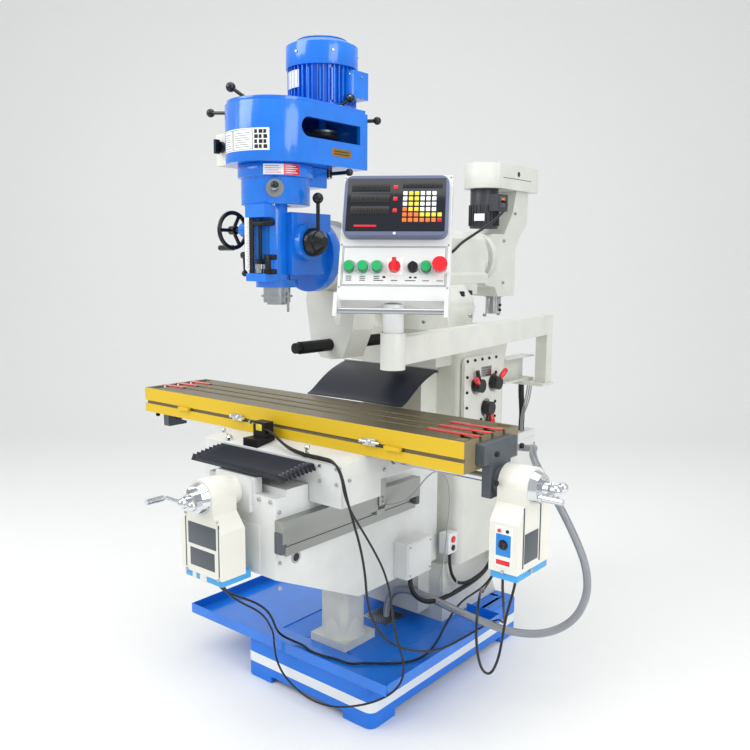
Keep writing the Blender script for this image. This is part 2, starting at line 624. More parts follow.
loose_cable("bracket_conduit", [
    (0.226, 0.600, 1.0437), (0.226, 0.600, 1.010), (0.230, 0.601, 0.960),
    (0.233, 0.603, 0.910), (0.230, 0.604, 0.870), (0.230, 0.604, 0.8403)],
    0.012, conduit, stiffness="medium", lay="taut", exit_body="frame")
for number in range(3):
    shift = 0.009 * number
    loose_cable(f"bracket_lead_{number}", [
        (0.262 + shift, 0.590, 1.0437), (0.260 + shift, 0.590, 1.010),
        (0.250 + shift, 0.588, 0.960), (0.240 + shift / 2, 0.584, 0.910),
        (0.238 + shift / 2, 0.583, 0.870), (0.238 + shift / 2, 0.583, 0.8403)],
        0.0028, alloy, stiffness="limp", lay="taut", exit_body="frame")

# %% [markdown]
# ## The control console
# The console leans back and is turned a little, so its details are drawn flat in its own
# frame, x to the right, z up and y into the panel, and one matrix puts them in place.  The
# matrix comes from the direction in which the start button is pressed.

# %% The console's own frame
pressing = Vector(next(joint for joint in frame["joints"]
                       if joint["name"] == "start_button_press")["axis"])
display_low, display_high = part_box("display")
DISPLAY_HALF_DEPTH_MM = 15.05
console_middle = ((display_low + display_high) / 2 * METRE
                  + pressing * DISPLAY_HALF_DEPTH_MM)
lean = math.asin(-pressing.z)
turn = math.atan2(-pressing.x, pressing.y)
on_console = (Matrix.Translation(console_middle) @ Matrix.Rotation(turn, 4, "Z")
              @ Matrix.Rotation(-lean, 4, "X"))
SCREEN_Y = -30.0
print(f"console turned {math.degrees(turn):.1f} and leaning {math.degrees(lean):.1f} degrees")

# %% [markdown]
# The display is a flat box with a thick rim.  The dark screen is sunk into it; the digit
# windows, the square keys and the small red select keys stand proud of the screen by a
# millimetre or so.

# %% Screen, digit windows and keys
mesh = bmesh.new()
slab(mesh, -140, 140, SCREEN_Y - 0.8, SCREEN_Y + 2, -80, 83, 0.3)
piece("screen_glass", mesh, screen, "console_group", on_console)

mesh = bmesh.new()
for row in range(3):
    slab(mesh, -128, -18, SCREEN_Y - 1.6, SCREEN_Y, 42 - 36 * row, 68 - 36 * row, 0.5)
slab(mesh, 18, 130, SCREEN_Y - 1.6, SCREEN_Y, 52, 70, 0.5)
piece("digit_windows", mesh, black, "console_group", on_console)

mesh = bmesh.new()
STROKE = 1.1


def digit_eight(mesh, left, foot, tall, front):
    """Seven unlit strokes of one numeral."""
    wide = tall * 0.55
    for level in (0, tall / 2, tall):
        slab(mesh, left + 1, left + wide - 1, front - 0.3, front, foot + level - STROKE / 2,
             foot + level + STROKE / 2)
    for side in (0, wide):
        for level in (0, tall / 2):
            slab(mesh, left + side - STROKE / 2, left + side + STROKE / 2, front - 0.3, front,
                 foot + level + 1, foot + level + tall / 2 - 1)


for row in range(3):
    for place in range(8):
        digit_eight(mesh, -123 + 13 * place, 47 - 36 * row, 16, SCREEN_Y - 1.6)
for place in range(9):
    digit_eight(mesh, 24 + 11.6 * place, 56, 10, SCREEN_Y - 1.6)
piece("unlit_numerals", mesh, digits, "console_group", on_console)

keys = {"white": bmesh.new(), "yellow": bmesh.new(), "orange": bmesh.new(),
        "red": bmesh.new()}
key_finish = {"white": white, "yellow": lemon, "orange": orange, "red": red}
KEY_MM = 12
STEP_MM = 16.4


def key(colour, column, row):
    left = 20 + STEP_MM * column
    top = 42 - STEP_MM * row
    slab(keys[colour], left, left + KEY_MM, SCREEN_Y - 2.4, SCREEN_Y, top - KEY_MM, top, 1.2)


for row in range(4):
    for column in range(6):
        first = "orange" if row == 3 else "white"
        key(first if column == 0 else "yellow" if column in (1, 2) else "white", column, row)
for column in range(7):
    key("orange" if column < 3 else "yellow", column, 4)
    key("red" if column == 6 else "orange", column, 5)
for row in range(3):
    slab(keys["red"], -8, 4, SCREEN_Y - 2.4, SCREEN_Y, 49 - 36 * row, 61 - 36 * row, 1.2)
for colour, mesh in keys.items():
    piece("keys_" + colour, mesh, key_finish[colour], "console_group", on_console)
mesh = bmesh.new()
slab(mesh, -116, -52, SCREEN_Y - 1.4, SCREEN_Y, -67, -61, 0.4)
piece("maker_strip_blank", mesh, red, "console_group", on_console)
mesh = bmesh.new()
turned(mesh, (0, SCREEN_Y + 2, -86.0), (0, -1, 0), [(0, 4), (3.2, 4), (3.6, 3.2)], 20)
piece("round_badge_blank", mesh, white, "console_group", on_console)
print("screen, windows and", 4 * 6 + 14 + 3, "keys")

# %% [markdown]
# The lower panel is a white printed plate: a fine double border, a screw in each corner, a
# white ring round each button and a small plain pictogram under it.

# %% The button panel
BUTTON_Z = -176.0
mesh = bmesh.new()
for inset in (0, 3.4):
    left, right = -148 + inset, 148 - inset
    foot, top = -232 + inset, -112 - inset
    for line_from, line_to in ((foot, foot + 0.9), (top - 0.9, top)):
        slab(mesh, left, right, -0.5, 0, line_from, line_to)
    for line_from, line_to in ((left, left + 0.9), (right - 0.9, right)):
        slab(mesh, line_from, line_to, -0.5, 0, foot, top)
for centre in (-126, -87, -47):
    for level in (-204, -210, -216):
        slab(mesh, centre - 8, centre + 8, -0.5, 0, level, level + 2.2)
for centre in (-36, 3, 42, 54, 91, 130):
    slab(mesh, centre - 9, centre + 9, -0.5, 0, -216, -214)
slab(mesh, -30, -22, -0.5, 0, -208, -202)
for centre in (48, 62):
    slab(mesh, centre - 3.5, centre + 3.5, -0.5, 0, -208, -203)
piece("panel_printing", mesh, ink, "console_group", on_console)
mesh = bmesh.new()
for centre in (-126, -87, -47, 91):
    hollow_ring(mesh, (centre, 0, BUTTON_Z), (0, -1, 0), 20.5, 15.6, 4.0)
hollow_ring(mesh, (54, 0, BUTTON_Z), (0, -1, 0), 17, 14.8, 3.0)
piece("button_bezels", mesh, chrome, "console_group", on_console)
mesh = bmesh.new()
slab(mesh, -19, 25, -1.5, 0, BUTTON_Z - 22, BUTTON_Z + 26, 0.5)
hollow_ring(mesh, (130, 0, BUTTON_Z), (0, -1, 0), 22.6, 19, 1.2)
piece("switch_plates", mesh, white, "console_group", on_console)
mesh = bmesh.new()
for side in (-1, 1):
    for level in (-236, -108, 101):
        cap_screw(mesh, (side * 152, 0, level), (0, -1, 0), 2.4)
piece("panel_screws", mesh, steel, "console_group", on_console)
mesh = bmesh.new()
bar(mesh, (-150, -26, -314), (150, -26, -314), 8.2, 24)
piece("grab_rail_sleeve", mesh, steel, "console_group", on_console)
print("button panel printed, ringed and screwed down")

# %% [markdown]
# ## Table, trip dogs and end brackets
# The table's front slot carries two trip dogs that stop the power feed.  Red plastic strips
# lie in the slots near the ends, and each end bracket is held by bolts round its bearing.

# %% Table details
x_low, y_low, z_low, x_high, y_high, z_high = corners("table")
mesh = bmesh.new()
for slot_y in (-448, -384.5, -321):
    for from_x, to_x in ((x_high - 190, x_high - 6), (x_low + 6, x_low + 130)):
        slab(mesh, from_x, to_x, slot_y - 11, slot_y + 11, z_high - 0.2, z_high + 2.4, 0.8)
piece("slot_caps", mesh, red, "table_group")
mesh = bmesh.new()
for dog_x in (-260, 345):
    slab(mesh, dog_x - 24, dog_x + 24, -549, -527, 991, 1013, 1.5)
    bar(mesh, (dog_x + 2, -549.5, 1002), (dog_x + 2, -560, 1002), 7.5, 6)
    bar(mesh, (dog_x - 36, -545, 1002), (dog_x + 40, -545, 1002), 5)
    ball(mesh, (dog_x - 36, -545, 1002), 6.5)
piece("trip_dogs", mesh, chrome, "table_group")
mesh = bmesh.new()
for end_x in (x_low - 0.2, x_high + 0.2):
    out = 1 if end_x > 0 else -1
    for hole_y in (-440, -330):
        cap_screw(mesh, (end_x, hole_y, 1012), (out, 0, 0), 8)
bracket = corners("end_brackets")
for hole_y in (-455, -314):
    for hole_z in (925, 1010):
        cap_screw(mesh, (bracket[3], hole_y, hole_z), (1, 0, 0), 8.5)
        cap_screw(mesh, (bracket[0], hole_y, hole_z), (-1, 0, 0), 8.5)
piece("table_end_screws", mesh, black_steel, "table_group")
print("slot caps, two trip dogs and end screws")

# %% [markdown]
# ## Power feeds
# Each feed is a cream moulded gearbox with a light blue cap underneath.  Its front carries
# a printed control plate: two knobs, a blue field and a row of keys, with no words.

# %% The X power feed
x_low, y_low, z_low, x_high, y_high, z_high = corners("x_power_feed")
mesh = bmesh.new()
face_y = -479.6
slab(mesh, 757, 813, face_y - 1.2, face_y + 6, 694, 812, 0.8)
piece("x_feed_plate", mesh, white, "table_group")
mesh = bmesh.new()
slab(mesh, 761, 809, face_y - 2.0, face_y, 726, 790, 0.8)
piece("x_feed_field", mesh, field_blue, "table_group")
mesh = bmesh.new()
slab(mesh, 763, 807, face_y - 2.2, face_y, 700, 714, 0.6)
turned(mesh, (772, face_y, 800), (0, -1, 0), [(0, 5), (6, 5), (7, 4)], 20)
piece("x_feed_red_keys", mesh, red, "table_group")
mesh = bmesh.new()
turned(mesh, (785, face_y, 760), (0, -1, 0), [(0, 15), (3, 15), (4, 11), (12, 10), (13, 9)], 32)
turned(mesh, (798, face_y, 801), (0, -1, 0), [(0, 5), (4, 5), (5, 4)], 20)
slab(mesh, 783.6, 786.4, face_y - 14.5, face_y - 12, 752, 770, 0.4)
piece("x_feed_knobs", mesh, black, "table_group")
mesh = bmesh.new()
slab(mesh, 829.6, 831.4, -440, -362, 700, 788, 0.8)
for rib_y in (-448, -352):
    slab(mesh, 829.0, 832.5, rib_y - 2, rib_y + 2, 690, 868, 1.0)
piece("x_feed_side_plate", mesh, slate, "table_group")
mesh = bmesh.new()
cap_screw(mesh, (830, -401, 672), (1, 0, 0), 6)
cap_screw(mesh, (784, face_y, 680), (0, -1, 0), 5)
piece("x_feed_screws", mesh, steel, "table_group")
print("X feed plate, knobs and screws")

# %% [markdown]
# The Y feed hangs on the knee's front and shows two dark cover plates.  Both feeds end in a
# shallow light blue cap, and both cranks have a graduated dial with a brass lock nut.

# %% The Y power feed, caps and dials
def graduated_dial(mesh, middle, axis, radius, long_mm, count=50):
    """Fine raised marks round a dial; every fifth mark is longer."""
    along = Vector(axis).normalized()
    side = along.orthogonal().normalized()
    for mark in range(count):
        spin = Matrix.Rotation(2 * pi * mark / count, 4, along)
        reach = long_mm if mark % 5 == 0 else long_mm * 0.55
        start = Vector(middle) + spin @ side * radius
        bar(mesh, start, start + along * reach, 0.45, 6)


mesh = bmesh.new()
front_y = -922
slab(mesh, -60, 70, front_y - 1.2, front_y + 3, 694, 762, 1.0)
slab(mesh, -52, 62, front_y - 1.2, front_y + 3, 626, 682, 1.0)
for rib_x in (-72, 82):
    slab(mesh, rib_x - 2, rib_x + 2, front_y - 1.4, front_y + 2, 615, 775, 0.8)
piece("y_feed_cover_plates", mesh, slate, "knee_group")
mesh = bmesh.new()
for screw_x in (-70, 80):
    for screw_z in (606, 786):
        cap_screw(mesh, (screw_x, front_y, screw_z), (0, -1, 0), 4.5)
piece("y_feed_screws", mesh, steel, "knee_group")
mesh = bmesh.new()
low = corners("y_power_feed")
slab(mesh, -87, 87, -917, -800, low[2] + 0.3, low[2] + 30, 5)
piece("y_feed_cap", mesh, sky, "knee_group")
mesh = bmesh.new()
low = corners("x_power_feed")
slab(mesh, low[0] + 2, low[3] - 2, -475, -293, low[2] + 0.3, low[2] + 30, 5)
piece("x_feed_cap", mesh, sky, "table_group")
mesh = bmesh.new()
turned(mesh, (0, -963, 842), (0, -1, 0), [(0, 13), (9, 13), (10, 11)], 8)
piece("y_dial_nut", mesh, brass, "y_crank_group")
mesh = bmesh.new()
graduated_dial(mesh, (0, -936, 842), (0, -1, 0), 31.5, 9)
piece("y_dial_marks", mesh, ink, "y_crank_group")
mesh = bmesh.new()
graduated_dial(mesh, (846, -384.5, 915), (1, 0, 0), 31.5, 9)
piece("x_dial_marks", mesh, ink, "x_crank_group")
print("Y feed plates, caps and dial marks")

# %% [markdown]
# ## Knee and saddle
# The knee has bolted covers, an inspection plug and a reader for the linear scale.  The
# saddle's lock levers stand on its front ledge with chrome balls.

# %% Knee details
mesh = bmesh.new()
hollow_ring(mesh, (180, -700, 640), (1, 0, 0), 20, 13, 2.0)
for bolt_z in (560, 640, 800):
    cap_screw(mesh, (180, -770, bolt_z), (1, 0, 0), 6)
for bolt_x in (-160, -110, 110, 160):
    cap_screw(mesh, (bolt_x, -784, 830), (0, -1, 0), 6)
piece("knee_bolts", mesh, steel, "knee_group")
mesh = bmesh.new()
turned(mesh, (179.5, -700, 640), (1, 0, 0), [(0, 13), (1.0, 13)], 32)
piece("knee_plug", mesh, ink, "knee_group")
mesh = bmesh.new()
slab(mesh, 180, 212, -792, -774, 676, 744, 3)
slab(mesh, 180, 212, -116, -96, 676, 744, 3)
piece("scale_end_caps", mesh, slate, "knee_group")
mesh = bmesh.new()
for seam_z in (690, 706):
    slab(mesh, 193.6, 195.0, -770, -120, seam_z - 1.2, seam_z + 1.2, 0.3)
piece("scale_slot", mesh, ink, "knee_group")
mesh = bmesh.new()
slab(mesh, 194.6, 214.0, -342, -299, 690, 744, 3)
slab(mesh, 214, 220, -338, -303, 724, 864, 1.5)
for screw_z in (736, 752, 842):
    cap_screw(mesh, (220, -320, screw_z), (1, 0, 0), 4)
piece("scale_reader", mesh, alloy, "saddle_group")
mesh = bmesh.new()
box = corners("junction_box")
slab(mesh, box[3] - 0.2, box[3] + 2.2, box[1] + 5, box[4] - 5, box[2] + 5, box[5] - 5, 1.5)
piece("junction_box_lid", mesh, panel_paint, "knee_group")
mesh = bmesh.new()
for screw_y in (box[1] + 14, box[4] - 14):
    for screw_z in (box[2] + 14, box[5] - 14):
        cap_screw(mesh, (box[3] + 2, screw_y, screw_z), (1, 0, 0), 3.5)
piece("junction_box_screws", mesh, steel, "knee_group")
mesh = bmesh.new()
for gland_x, gland_y in ((211, -150),):
    turned(mesh, (gland_x, gland_y, box[2] + 1), (0, 0, -1), [(0, 14), (10, 14), (14, 11),
                                                             (24, 10.4)], 8)
piece("junction_box_glands", mesh, black, "knee_group")
print("knee bolts, scale, reader and junction box lid")

# %% Saddle details
mesh = bmesh.new()
for lever_x, tip in ((-214, (-40, -26, 44)), (150, (38, -24, 46))):
    foot = Vector((lever_x, -622, 941))
    turned(mesh, foot, (0, 0, 1), [(0, 12), (9, 12), (13, 8), (16, 7)], 24)
    end = foot + Vector((0, 0, 12)) + Vector(tip) * 0.45
    bar(mesh, foot + Vector((0, 0, 10)), end, 3.6)
    ball(mesh, end, 9)
piece("saddle_lock_levers", mesh, chrome, "saddle_group")
mesh = bmesh.new()
turned(mesh, (319.6, -300, 905), (1, 0, 0), [(0, 30), (0.9, 30)], 40)
piece("saddle_side_recess", mesh, ink, "saddle_group")
mesh = bmesh.new()
for bolt_x in (232, 300):
    for bolt_z in (880, 928):
        cap_screw(mesh, (bolt_x, -644, bolt_z), (0, -1, 0), 5.5)
for bolt_y in (-610, -440):
    cap_screw(mesh, (320, bolt_y, 890), (1, 0, 0), 6)
piece("saddle_bolts", mesh, steel, "saddle_group")
mesh = bmesh.new()
slab(mesh, -104, -76, -600.8, -599, 986, 1008, 0.3)
piece("limit_switch_label", mesh, lemon, "saddle_group")
mesh = bmesh.new()
bar(mesh, (-106, -596, 1006), (-106, -620, 1016), 2.4)
turned(mesh, (-110, -622, 1017), (1, 0, 0), [(0, 7), (7, 7)], 24)
piece("limit_switch_roller", mesh, steel, "saddle_group")
print("saddle levers, bolts and switch label")

# %% [markdown]
# ## Rubber covers
# The front cover is a navy rubber sheet folded like a concertina, so a zigzag profile is
# pulled across and given a thickness.  It joins the knee to the saddle and stretches as
# they part.  The rear cover is one smooth apron, clamped by a strip on the column and hanging
# down in a shallow curve to the saddle.

# %% The pleated front cover
def ribbon(mesh, x_from, x_to, profile, across):
    """Pull a (y, z) profile across x in equal strips."""
    line = [mesh.verts.new((x_from, y, z)) for y, z in profile]
    shape = [mesh.edges.new(pair) for pair in zip(line, line[1:])]
    for _ in range(across):
        grown = bmesh.ops.extrude_edge_only(mesh, edges=shape)["geom"]
        moved = [item for item in grown if isinstance(item, bmesh.types.BMVert)]
        shape = [item for item in grown if isinstance(item, bmesh.types.BMEdge)]
        bmesh.ops.translate(mesh, verts=moved, vec=((x_to - x_from) / across, 0, 0))


def sheet_piece(name, mesh, material, node, thick_mm):
    """A sheet with a live thickness, standing for its CAD solid."""
    made = piece(name, mesh, material, None)
    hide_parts(node)
    wall = made.modifiers.new("thickness", "SOLIDIFY")
    wall.thickness = thick_mm / METRE
    wall.offset = 0
    return made


PLEATS = 8
x_low, y_low, z_low, x_high, y_high, z_high = corners("front_bellows")
profile = []
for step in range(2 * PLEATS + 1):
    share = step / (2 * PLEATS)
    crest = z_low + 12 + (z_high - z_low - 14) * min(1.0, 0.35 + share * 0.9)
    valley = z_low + 3 + (z_high - z_low - 22) * share * 0.6
    profile.append((y_low + 1.5 + (y_high - y_low - 3) * share, crest if step % 2 else valley))
mesh = bmesh.new()
ribbon(mesh, x_low + 1, x_high - 1, profile, 12)
bellows = sheet_piece("front_cover_pleats", mesh, rubber, "front_bellows", 1.4)
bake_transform(bellows)

# %% The smooth rear apron
x_low, y_low, z_low, x_high, y_high, z_high = corners("rear_way_cover")
knots = [(-0.9, z_high - 3), (-22, z_high - 10), (-62, z_high - 22), (-112, z_high - 44),
         (-158, z_high - 74), (-196, z_high - 102), (-216, z_low + 7), (-226, z_low + 3)]
mesh = bmesh.new()
ribbon(mesh, x_low + 1, x_high - 1, knots, 10)
for corner in mesh.verts:
    share = (corner.co.x - x_low) / (x_high - x_low)
    corner.co.z += 3.0 * sin(pi * share) - 1.5
apron = sheet_piece("rear_apron", mesh, rubber, "rear_way_cover", 2.0)
smoothing = apron.modifiers.new("smooth", "SUBSURF")
smoothing.levels = 2
smoothing.render_levels = 2
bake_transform(apron)
mesh = bmesh.new()
slab(mesh, -236, 222, -5.5, -2.5, z_high - 16, z_high - 1, 0.6)
for screw in range(6):
    cap_screw(mesh, (-214 + screw * 82, -5.5, z_high - 9), (0, -1, 0), 4)
piece("apron_clamp", mesh, alloy, "frame")

# %% [markdown]
# ## The vertical head
# The head carries the most small parts: clamping levers with black balls, a bearing ring in
# the lid, belt pulleys behind the window, printed plates, the range plate and its knob, and
# the depth stop's scale.  Curved labels are a small rectangle spun part of the way round.

# %% Labels that follow a round casting
def curved_plate(mesh, middle, radius, from_degrees, to_degrees, z_from, z_to, thick=0.7):
    """A thin plate wrapped round an upright axis."""
    begin = radians(from_degrees)
    way = Vector((cos(begin), sin(begin), 0))
    centre = Vector((middle[0], middle[1], 0))
    loop = [mesh.verts.new(centre + way * reach + Vector((0, 0, level)))
            for reach, level in ((radius, z_from), (radius + thick, z_from),
                                 (radius + thick, z_to), (radius, z_to))]
    start = mesh.faces.new(loop)
    bmesh.ops.spin(mesh, geom=[start, *start.edges, *start.verts], cent=centre,
                   axis=(0, 0, 1), dvec=(0, 0, 0), angle=radians(to_degrees - from_degrees),
                   steps=max(4, int(abs(to_degrees - from_degrees) / 4)), use_merge=False,
                   use_duplicate=False)


SPINDLE = (0.0, -596.0)
mesh = bmesh.new()
curved_plate(mesh, SPINDLE, 154.0, -121, -50, 1872, 1936)
piece("data_plate", mesh, white, "head_group")
mesh = bmesh.new()
for begin, end in ((-119.6, -98.2), (-96.8, -69.2)):
    curved_plate(mesh, SPINDLE, 154.5, begin, begin + 0.6, 1875, 1933, 0.4)
    curved_plate(mesh, SPINDLE, 154.5, end - 0.6, end, 1875, 1933, 0.4)
    for level in (1875, 1932):
        curved_plate(mesh, SPINDLE, 154.5, begin, end, level, level + 1, 0.4)
    for row in range(7):
        curved_plate(mesh, SPINDLE, 154.5, begin + 3, end - 4 - 2 * (row % 3),
                     1882 + 6.6 * row, 1883.4 + 6.6 * row, 0.4)
for row in range(4):
    for column in range(3):
        left = -67 + column * 5.2
        curved_plate(mesh, SPINDLE, 154.5, left, left + 4.2 - (row + column) % 2,
                     1877 + 14.4 * row, 1888 + 14.4 * row, 0.4)
piece("data_plate_printing", mesh, ink, "head_group")
mesh = bmesh.new()
curved_plate(mesh, SPINDLE, 118.0, -62, -32, 1806, 1837)
piece("caution_label_left", mesh, white, "head_group")
mesh = bmesh.new()
curved_plate(mesh, SPINDLE, 118.0, -32, -6, 1806, 1837)
for row in range(4):
    curved_plate(mesh, SPINDLE, 118.5, -59, -36 - row % 2 * 3, 1811 + 6.4 * row,
                 1812.6 + 6.4 * row, 0.4)
curved_plate(mesh, SPINDLE, 89.2, -150, -128, 1690, 1706)
piece("caution_label_red", mesh, red, "head_group")
mesh = bmesh.new()
for row in range(4):
    curved_plate(mesh, SPINDLE, 118.5, -29, -10 - row % 2 * 3, 1811 + 6.4 * row,
                 1812.6 + 6.4 * row, 0.4)
curved_plate(mesh, SPINDLE, 89.2, -150, -128, 1656, 1690)
curved_plate(mesh, (0.0, -382.0), 112.0, -122, -88, 2098, 2152)
piece("label_white_areas", mesh, white, "head_group")
print("data plate and labels wrapped")

# %% Clamping levers, bearing ring and pulleys
def ball_lever(mesh, foot, tip, rod_radius, ball_radius):
    bar(mesh, foot, tip, rod_radius)
    ball(mesh, Vector(tip), ball_radius)


mesh = bmesh.new()
ball_lever(mesh, (-92, -560, 2026), (-196, -604, 2104), 6, 16)
ball_lever(mesh, (-130, -590, 2018), (-282, -618, 2030), 5.5, 14)
ball_lever(mesh, (112, -420, 2036), (136, -396, 2062), 5, 14)
ball_lever(mesh, (116, -338, 2000), (168, -300, 2002), 6, 13)
piece("belt_case_levers", mesh, black, "head_group")
mesh = bmesh.new()
hollow_ring(mesh, (0, -596, 2029.6), (0, 0, 1), 58, 36, 9)
hollow_ring(mesh, (0, -596, 2029.6), (0, 0, 1), 32, 22, 6)
turned(mesh, (112, -420, 2029), (0, 0, 1), [(0, 10), (9, 10), (11, 7)], 24)
piece("lid_bearing_ring", mesh, steel, "head_group")
mesh = bmesh.new()
motor_pulley = [(0, 62), (6, 62), (12, 52), (18, 62), (24, 60), (30, 50), (36, 60), (42, 56),
                (48, 46), (54, 56), (60, 56)]
turned(mesh, (0, -382, 1912), (0, 0, 1), motor_pulley, 40)
piece("motor_pulley", mesh, alloy, "head_group")
mesh = bmesh.new()
for side in (-1, 1):
    bar(mesh, (side * 84, -596, 1944), (side * 54, -382, 1942), 7, 6)
piece("drive_belt", mesh, rubber, "head_group")
mesh = bmesh.new()
slab(mesh, 153.6, 155.0, -502, -414, 1872, 1896, 0.5)
piece("belt_window_plate", mesh, brass, "head_group")
mesh = bmesh.new()
for row in range(2):
    slab(mesh, 154.8, 155.4, -494, -424, 1878 + 8 * row, 1881 + 8 * row)
piece("belt_window_plate_printing", mesh, ink, "head_group")
print("levers, lid ring, motor pulley and belt")

# %% [markdown]
# The motor is finned: thin upright ribs all round between its end bells.  They are one rib
# copied round the axis.

# %% Motor ribs, cowl and terminal box
MOTOR = Vector((0, -382, 0))
mesh = bmesh.new()
for rib in range(40):
    first = len(mesh.verts)
    slab(mesh, 90, 113, -1.5, 1.5, 2050, 2186, 0.6)
    mesh.verts.ensure_lookup_table()
    bmesh.ops.rotate(mesh, verts=mesh.verts[first:], cent=(0, 0, 0),
                     matrix=Matrix.Rotation(2 * pi * rib / 40, 3, "Z"))
bmesh.ops.translate(mesh, verts=mesh.verts, vec=MOTOR)
piece("motor_ribs", mesh, blue, "head_group")
mesh = bmesh.new()
turned(mesh, (0, -382, 2255), (0, 0, 1), [(0, 84), (3, 80), (5, 60), (6, 0.5)], 40)
piece("motor_cowl_dome", mesh, blue, "head_group")
mesh = bmesh.new()
for screw in range(6):
    spin = Matrix.Rotation(radians(30 + 60 * screw), 4, "Z")
    out = spin @ Vector((1, 0, 0))
    cap_screw(mesh, MOTOR + out * 117.6 + Vector((0, 0, 2206)), out, 4)
for screw_y in (-410, -354):
    cap_screw(mesh, (146, screw_y, 2132), (1, 0, 0), 3.5)
    cap_screw(mesh, (146, screw_y, 2066), (1, 0, 0), 3.5)
piece("motor_screws", mesh, steel, "head_group")
print("40 motor ribs, cowl dome and screws")

# %% Range plate, depth scale and small head parts
knob_joint = next(joint for joint in frame["joints"] if joint["name"] == "range_knob_turn")
outward = Vector(knob_joint["axis"])
RANGE_HUB = Vector((76.4, -672.4, 1766))
plate = RANGE_HUB + outward * 6
mesh = bmesh.new()
for pin in (90, 210, 330):
    spin = Matrix.Rotation(radians(pin), 4, outward)
    spot = plate + spin @ Vector((0, 0, 1)) * 19
    turned(mesh, spot, outward, [(0, 4.2), (3, 4.2), (4, 3)], 16)
knob_at = plate + Vector((0, 0, 6)) + outward * 22
bar(mesh, plate, knob_at, 5)
ball(mesh, knob_at + outward * 6, 12)
piece("range_ball_knob", mesh, black, "range_knob_group")
mesh = bmesh.new()
slab(mesh, -46, -24, -688, -662, 1520, 1682, 0.8)
piece("depth_scale_plate", mesh, white, "head_group")
mesh = bmesh.new()
for mark in range(30):
    reach = 14 if mark % 5 == 0 else 8
    slab(mesh, -26 - reach, -26, -688.5, -687.8, 1526 + 5 * mark, 1526.8 + 5 * mark)
piece("depth_scale_marks", mesh, ink, "head_group")
mesh = bmesh.new()
turned(mesh, (25, -688, 1512), (0, 0, 1), [(0, 15), (10, 15), (12, 17), (26, 17), (28, 14)], 40)
piece("micrometer_nut", mesh, steel, "head_group")
mesh = bmesh.new()
bar(mesh, (46, -690, 1664), (74, -676, 1664), 10, 24)
bar(mesh, (-2, -690, 1662), (52, -690, 1662), 8, 24)
for level in (1516, 1560):
    bar(mesh, (54, -700, level), (84, -676, level), 8, 20)
slab(mesh, 62, 76, -702, -690, 1512, 1566, 3)
bar(mesh, (-90, -640, 1566), (-84, -650, 1640), 6)
piece("head_black_fittings", mesh, black_steel, "head_group")
mesh = bmesh.new()
bar(mesh, (46, -592, 1388), (46, -592, 1452), 4)
hollow_ring(mesh, (0, -596, 1441), (0, 0, -1), 50, 42, 6)
for side in (-1, 1):
    bar(mesh, (side * 60, -664, 1716), (side * 60, -664, 1728), 7, 20)
piece("head_steel_fittings", mesh, steel, "head_group")
mesh = bmesh.new()
turned(mesh, (70, -428, 1842), (0, 0, -1), [(0, 12), (28, 12), (30, 9)], 24)
piece("brake_boss", mesh, steel, "brake_lever_group")
mesh = bmesh.new()
turned(mesh, (104, -528, 1607), (1, 0, 0), [(0, 44), (22, 44), (34, 40), (44, 26), (48, 8)], 40)
piece("quill_lever_dome", mesh, black, "quill_lever_group",
      Matrix.Translation((0, -23, 0)))
print("range plate, depth scale and fittings")

# %% [markdown]
# ## Column, turret and ram
# The gear panel is bolted all round and its three speed levers have red grips over black
# hubs, with a round number plate behind each.  The turret carries degree marks, and lock
# bolts hold it to the column.

# %% The gear panel
mesh = bmesh.new()
PANEL_X = 264
for bolt_y in (120, 172, 222, 272, 323):
    for bolt_z in (948, 1182):
        cap_screw(mesh, (PANEL_X, bolt_y, bolt_z), (1, 0, 0), 5.5)
for bolt_z in (1006, 1064, 1122):
    for bolt_y in (120, 323):
        cap_screw(mesh, (PANEL_X, bolt_y, bolt_z), (1, 0, 0), 5.5)
piece("gear_panel_bolts", mesh, black_steel, "frame")
HUBS = {"upper": (185, 1085, 58), "middle": (308, 1083, -40), "lower": (257, 990, 186)}
mesh = bmesh.new()
for hub_y, hub_z, grip_angle in HUBS.values():
    turned(mesh, (PANEL_X - 0.2, hub_y, hub_z), (1, 0, 0), [(0, 36), (1.4, 36)], 48)
slab(mesh, PANEL_X - 0.2, PANEL_X + 1.2, 220, 292, 1112, 1152, 0.4)
piece("speed_number_plates", mesh, alloy, "frame")
mesh = bmesh.new()
for hub_y, hub_z, grip_angle in HUBS.values():
    for mark in range(6):
        spin = radians(60 * mark + 30)
        spot = (hub_y + 31 * sin(spin), hub_z + 31 * cos(spin))
        slab(mesh, PANEL_X + 1, PANEL_X + 1.8, spot[0] - 2, spot[0] + 2, spot[1] - 3,
             spot[1] + 3, 0.2)
for row in range(4):
    slab(mesh, PANEL_X + 1, PANEL_X + 1.6, 226, 286, 1118 + 9 * row, 1120 + 9 * row)
piece("speed_number_marks", mesh, ink, "frame")
for place, (hub_y, hub_z, grip_angle) in HUBS.items():
    spin = radians(grip_angle)
    out = Vector((0.25, -sin(spin), cos(spin))).normalized()
    root = Vector((280, hub_y, hub_z)) + out * 18
    mesh = bmesh.new()
    turned(mesh, root, out, [(0, 7), (6, 9), (30, 11), (46, 10), (52, 6)], 24)
    piece("speed_grip_" + place, mesh, red, f"lever_{place}_group")
print("gear panel bolts, plates and three red grips")

